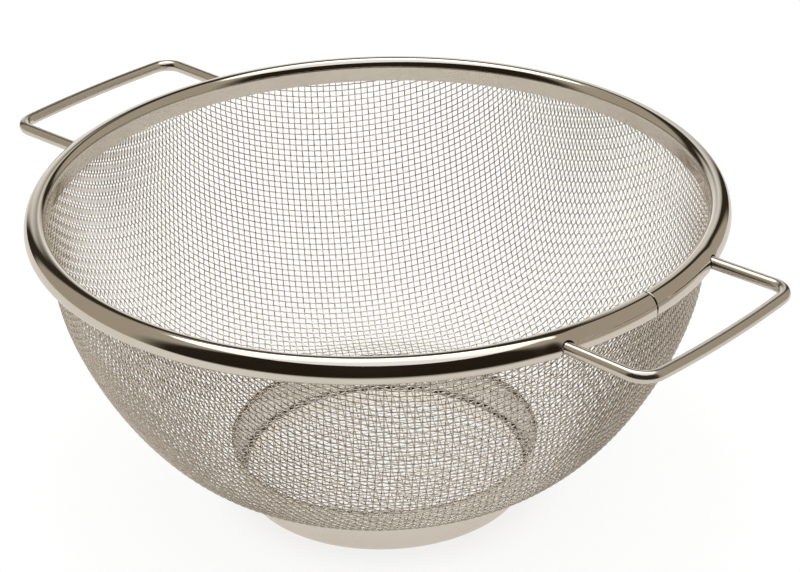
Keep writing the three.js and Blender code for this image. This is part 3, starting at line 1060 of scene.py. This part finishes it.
# Painted light: reflections see the floor inside the foot ring as a brighter pool.
RING_LIGHT_FADE = (0.048, 0.052)
RING_PAINTED_LIGHT = (0.93, 0.90, 0.84, 1)
SEEN_GREY = 0.3
SEEN_GLOW = 0.74
MIRRORED_GREY = 0.2
WHITE = (1, 1, 1, 1)


def lit_and_glowing(tree, grey, colour, glow):
    """A surface that takes some light and shadow, and adds an even glow."""
    plain = add_node(tree, "ShaderNodeBsdfDiffuse", {"Color": (grey, grey, grey, 1)})
    even = add_node(tree, "ShaderNodeEmission", {"Color": colour, "Strength": glow})
    return add_node(tree, "ShaderNodeAddShader", {0: plain, 1: even})


def chosen(tree, factor, no, yes):
    return add_node(tree, "ShaderNodeMixShader", {"Fac": factor, 1: no, 2: yes})


def rising(tree, value, low, high):
    """0 below low, 1 above high, smooth in between."""
    return add_node(tree, "ShaderNodeMapRange", {"Value": value, "From Min": low, "From Max": high},
                    interpolation_type="SMOOTHSTEP")


def floor_finish():
    """White to the camera; to reflections a pale sheet that fades out to show the room past it."""
    finish = bpy.data.materials.new("pale_floor")
    finish.use_nodes = True
    tree = finish.node_tree
    tree.nodes.clear()
    ray = tree.nodes.new("ShaderNodeLightPath").outputs
    place = object_place(tree)
    sheet_middle = turned_to_view(PAPER_RIGHT, PAPER_AWAY, -FLOOR_BELOW)
    apart = add_node(tree, "ShaderNodeVectorMath", {0: place, 1: sheet_middle}, "Value",
                     operation="DISTANCE")
    from_axis = add_node(tree, "ShaderNodeVectorMath", {0: place}, "Value", operation="LENGTH")
    past_sheet = rising(tree, apart, *PAPER_FADE)
    past_light_pool = rising(tree, from_axis, *RING_LIGHT_FADE)
    plain = add_node(tree, "ShaderNodeBsdfDiffuse", {"Color": FLOOR_GREY})
    clear = add_node(tree, "ShaderNodeBsdfTransparent", {})
    seen = lit_and_glowing(tree, SEEN_GREY, WHITE, SEEN_GLOW)
    paper = lit_and_glowing(tree, MIRRORED_GREY, PAPER_GLOW, 1.0)
    # Painted light: a brighter glow on the floor inside the foot ring, as reflections see it.
    light_pool_in_ring = lit_and_glowing(tree, MIRRORED_GREY, RING_PAINTED_LIGHT, 1.0)
    mirrored = chosen(tree, past_sheet, chosen(tree, past_light_pool, light_pool_in_ring, paper), clear)
    by_gloss = chosen(tree, ray["Is Glossy Ray"], plain, mirrored)
    surface = chosen(tree, ray["Is Camera Ray"], by_gloss, seen)
    add_node(tree, "ShaderNodeOutputMaterial", {"Surface": surface})
    return finish


floor_mesh = bpy.data.meshes.new("floor")
floor_mesh.from_pydata([(x * FLOOR_HALF, y * FLOOR_HALF, -FLOOR_BELOW)
                        for x, y in ((-1, -1), (1, -1), (1, 1), (-1, 1))], [], [(0, 1, 2, 3)])
floor = finished_object("floor", floor_mesh)
coat(floor, floor_finish())
print("floor laid")

# %% Soft light
LIGHT_HEIGHT = 1.0
LIGHT_WIDTH = 1.04
LIGHT_LENGTH = 1.52
LIGHT_TURN = math.radians(30)
LIGHT_RIGHT = -0.010
LIGHT_AWAY = -0.121
LIGHT_NEAR = 1.0
LIGHT_FAR = 2.4
LIGHT_RISE = (-0.1, 0.55)


def add_soft_light():
    """An oval soft light whose glow grows from its near end to its far end."""
    lamp = bpy.data.lights.new("soft_light", "AREA")
    lamp.shape = "ELLIPSE"
    lamp.size = LIGHT_WIDTH
    lamp.size_y = LIGHT_LENGTH
    lamp.energy = math.pi * math.pi / 4 * LIGHT_WIDTH * LIGHT_LENGTH
    lamp.use_nodes = True
    tree = lamp.node_tree
    place = tree.nodes.new("ShaderNodeNewGeometry").outputs["Position"]
    level = add_node(tree, "ShaderNodeMapRange", {
        "Value": reach_along(tree, place, turned_to_view(0, 1, 0)),
        "From Min": LIGHT_RISE[0], "From Max": LIGHT_RISE[1], "To Min": LIGHT_NEAR, "To Max": LIGHT_FAR},
        interpolation_type="SMOOTHSTEP")
    tree.links.new(level, tree.nodes["Emission"].inputs["Strength"])
    light = finished_object("soft_light", lamp)
    light.location = turned_to_view(LIGHT_RIGHT, LIGHT_AWAY, LIGHT_HEIGHT + RIM_HEIGHT * MM)
    light.rotation_euler = (0, 0, VIEW_AZIMUTH + LIGHT_TURN)
    return lamp


print("soft light", LIGHT_LENGTH, "by", LIGHT_WIDTH, "m,", round(add_soft_light().energy, 1), "W")

# %% [markdown]
# ## The room that the metal reflects
#
# The room is painted by direction: a bearing, from straight ahead to the right, and a height, both in
# degrees. The pale glow ends at a left, a right and a sloping upper edge, with a rounded corner, and the
# dark frame follows its outline. Only reflections see it. Soft light from all sides comes from a plain
# grey.

# %% The room
DARK = (0.020, 0.014, 0.008, 1)
OLIVE = (0.41, 0.36, 0.285, 1)
PALE = (1.00, 0.98, 0.95, 1)
FRAME = (0.030, 0.024, 0.016, 1)
FILL = (0.75, 0.75, 0.75, 1)
BEHIND_LEFT = (-114, -98)
BEHIND_RIGHT = (118, 134)
GLOW_LEFT = -23
GLOW_RIGHT = 29
GLOW_TOP = 18
GLOW_CORNER = 18
SLOPE_FROM = -4
SLOPE = 0.75
FRAME_FADE = (5, 13)
GLOW_FADE = (-5, -27)
GLOW_TOP_FADE = (5, 21)


def mirrored_room(tree):
    """The room's colour by direction, as the metal sees it."""
    direction = tree.nodes.new("ShaderNodeTexCoord").outputs["Generated"]
    ahead = reach_along(tree, direction, turned_to_view(0, 1, 0))
    aside = reach_along(tree, direction, turned_to_view(1, 0, 0))
    bearing = number(tree, "ARCTAN2", aside, ahead)
    height = number(tree, "ARCSINE", reach_along(tree, direction, (0, 0, 1)))

    plus, less, both, larger = [partial(number, tree, operation)
                                for operation in ("ADD", "SUBTRACT", "MULTIPLY", "MAXIMUM")]

    def after(value, low, high):
        return rising(tree, value, math.radians(low), math.radians(high))

    def before(value, low, high):
        return less(1.0, after(value, low, high))

    behind = plus(before(bearing, *BEHIND_LEFT), after(bearing, *BEHIND_RIGHT))
    walls = blended(tree, behind, OLIVE, DARK)
    leftwards = less(math.radians(GLOW_LEFT), bearing)
    rightwards = less(bearing, math.radians(GLOW_RIGHT))
    slope = both(larger(less(bearing, math.radians(SLOPE_FROM)), 0.0), SLOPE)
    upwards = less(height, plus(slope, math.radians(GLOW_TOP)))
    past_left, past_top = larger(leftwards, 0.0), larger(upwards, 0.0)
    corner = number(tree, "SQRT", plus(both(past_left, past_left), both(past_top, past_top)))
    deep = number(tree, "MINIMUM", larger(leftwards, upwards), 0.0)
    outside = larger(less(plus(corner, deep), math.radians(GLOW_CORNER)), rightwards)
    near_edge = before(number(tree, "ABSOLUTE", outside), *FRAME_FADE)
    framed = blended(tree, near_edge, walls, FRAME)
    inside = add_node(tree, "ShaderNodeMapRange", {
        "Value": outside, "From Min": math.radians(GLOW_FADE[0]), "From Max": math.radians(GLOW_FADE[1])})
    return blended(tree, both(inside, before(upwards, *GLOW_TOP_FADE)), framed, PALE)


def add_room():
    room = bpy.data.worlds.new("room")
    room.use_nodes = True
    tree = room.node_tree
    tree.nodes.clear()
    reflected, fill, white = [add_node(tree, "ShaderNodeBackground", {"Color": colour})
                              for colour in (mirrored_room(tree), FILL, WHITE)]
    ray = tree.nodes.new("ShaderNodeLightPath").outputs
    by_gloss = chosen(tree, ray["Is Glossy Ray"], fill, reflected)
    straight = number(tree, "MAXIMUM", ray["Is Camera Ray"], ray["Is Transmission Ray"])
    add_node(tree, "ShaderNodeOutputWorld", {"Surface": chosen(tree, straight, by_gloss, white)})
    bpy.context.scene.world = room


add_room()
bpy.context.scene.view_settings.view_transform = "Standard"
print("room ready")
